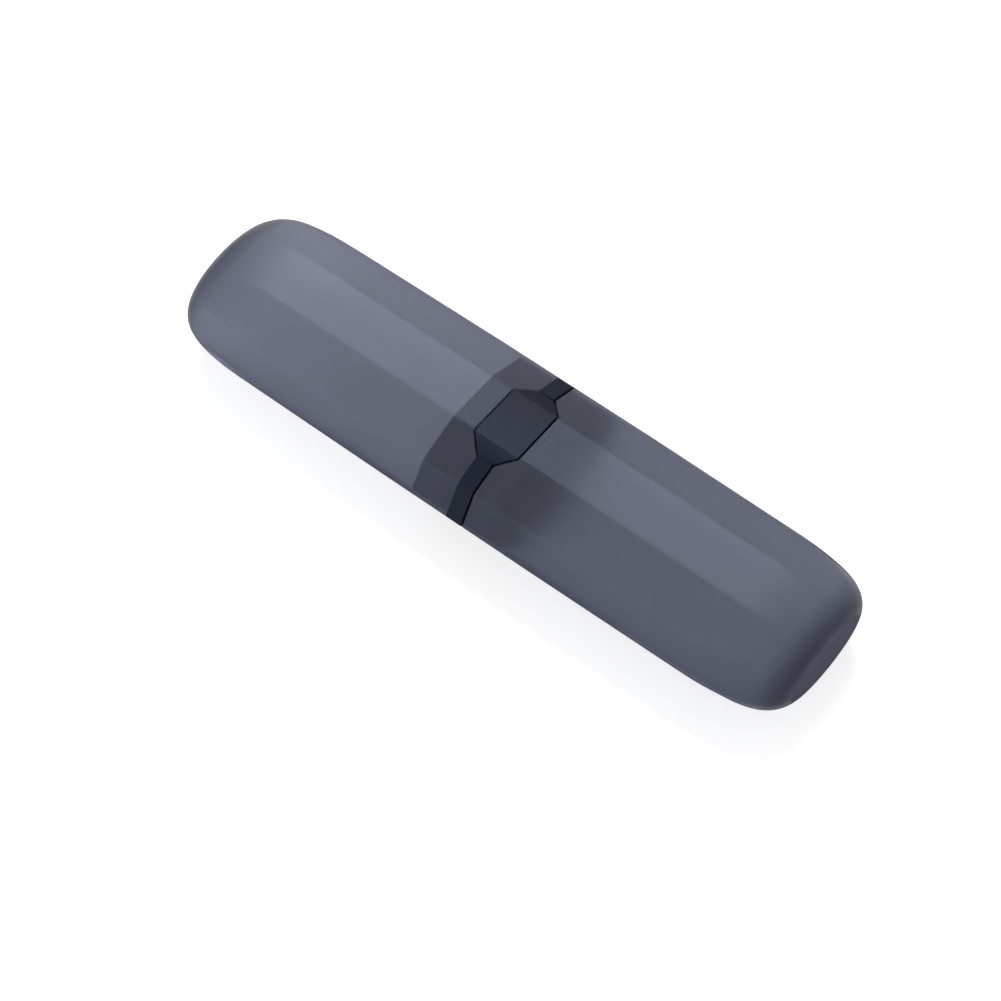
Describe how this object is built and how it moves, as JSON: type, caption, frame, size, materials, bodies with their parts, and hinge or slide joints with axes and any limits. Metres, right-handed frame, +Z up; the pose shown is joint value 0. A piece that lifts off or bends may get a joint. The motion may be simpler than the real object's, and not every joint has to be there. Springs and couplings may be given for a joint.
{
  "type": "electric toothbrush travel case",
  "caption": "Ten-sided translucent travel case in two pull-apart cups, joined by a dark collar with a six-sided latch button; holds a toothbrush lengthwise.",
  "frame": {"origin": "under the middle of the case, on the plane of the back facet that it lies on", "axes": "+X runs along the case towards the base cup that pulls off, +Y across the case, +Z up out of the crown facet and the button"},
  "size_m": [0.226, 0.06, 0.033],
  "materials": {
    "smoky_plastic": "smoky blue-grey translucent plastic, moulded with a fine frost",
    "collar_plastic": "dark slate plastic, satin",
    "button_plastic": "dark slate plastic, satin",
    "frame_plastic": "dark grey engineering plastic",
    "spring_steel": "blued spring strip"
  },
  "bodies": {
    "cover": {"cover_shell": "smoky_plastic", "collar": "collar_plastic", "latch_frame": "frame_plastic", "latch_spring": "spring_steel"},
    "base": {"base_shell": "smoky_plastic"},
    "button": {"release_button": "button_plastic"}
  },
  "joints": [
    {"name": "base_pull", "type": "slide", "parent": "cover", "child": "base", "axis": [1, 0, 0], "range_m": [0, 0.08]},
    {"name": "button_press", "type": "slide", "parent": "cover", "child": "button", "axis": [0, 0, -1], "range_m": [0, 0.001], "stiffness_N_per_m": 2000, "springref_m": -0.0005, "deforming": ["latch_spring"]}
  ]
}
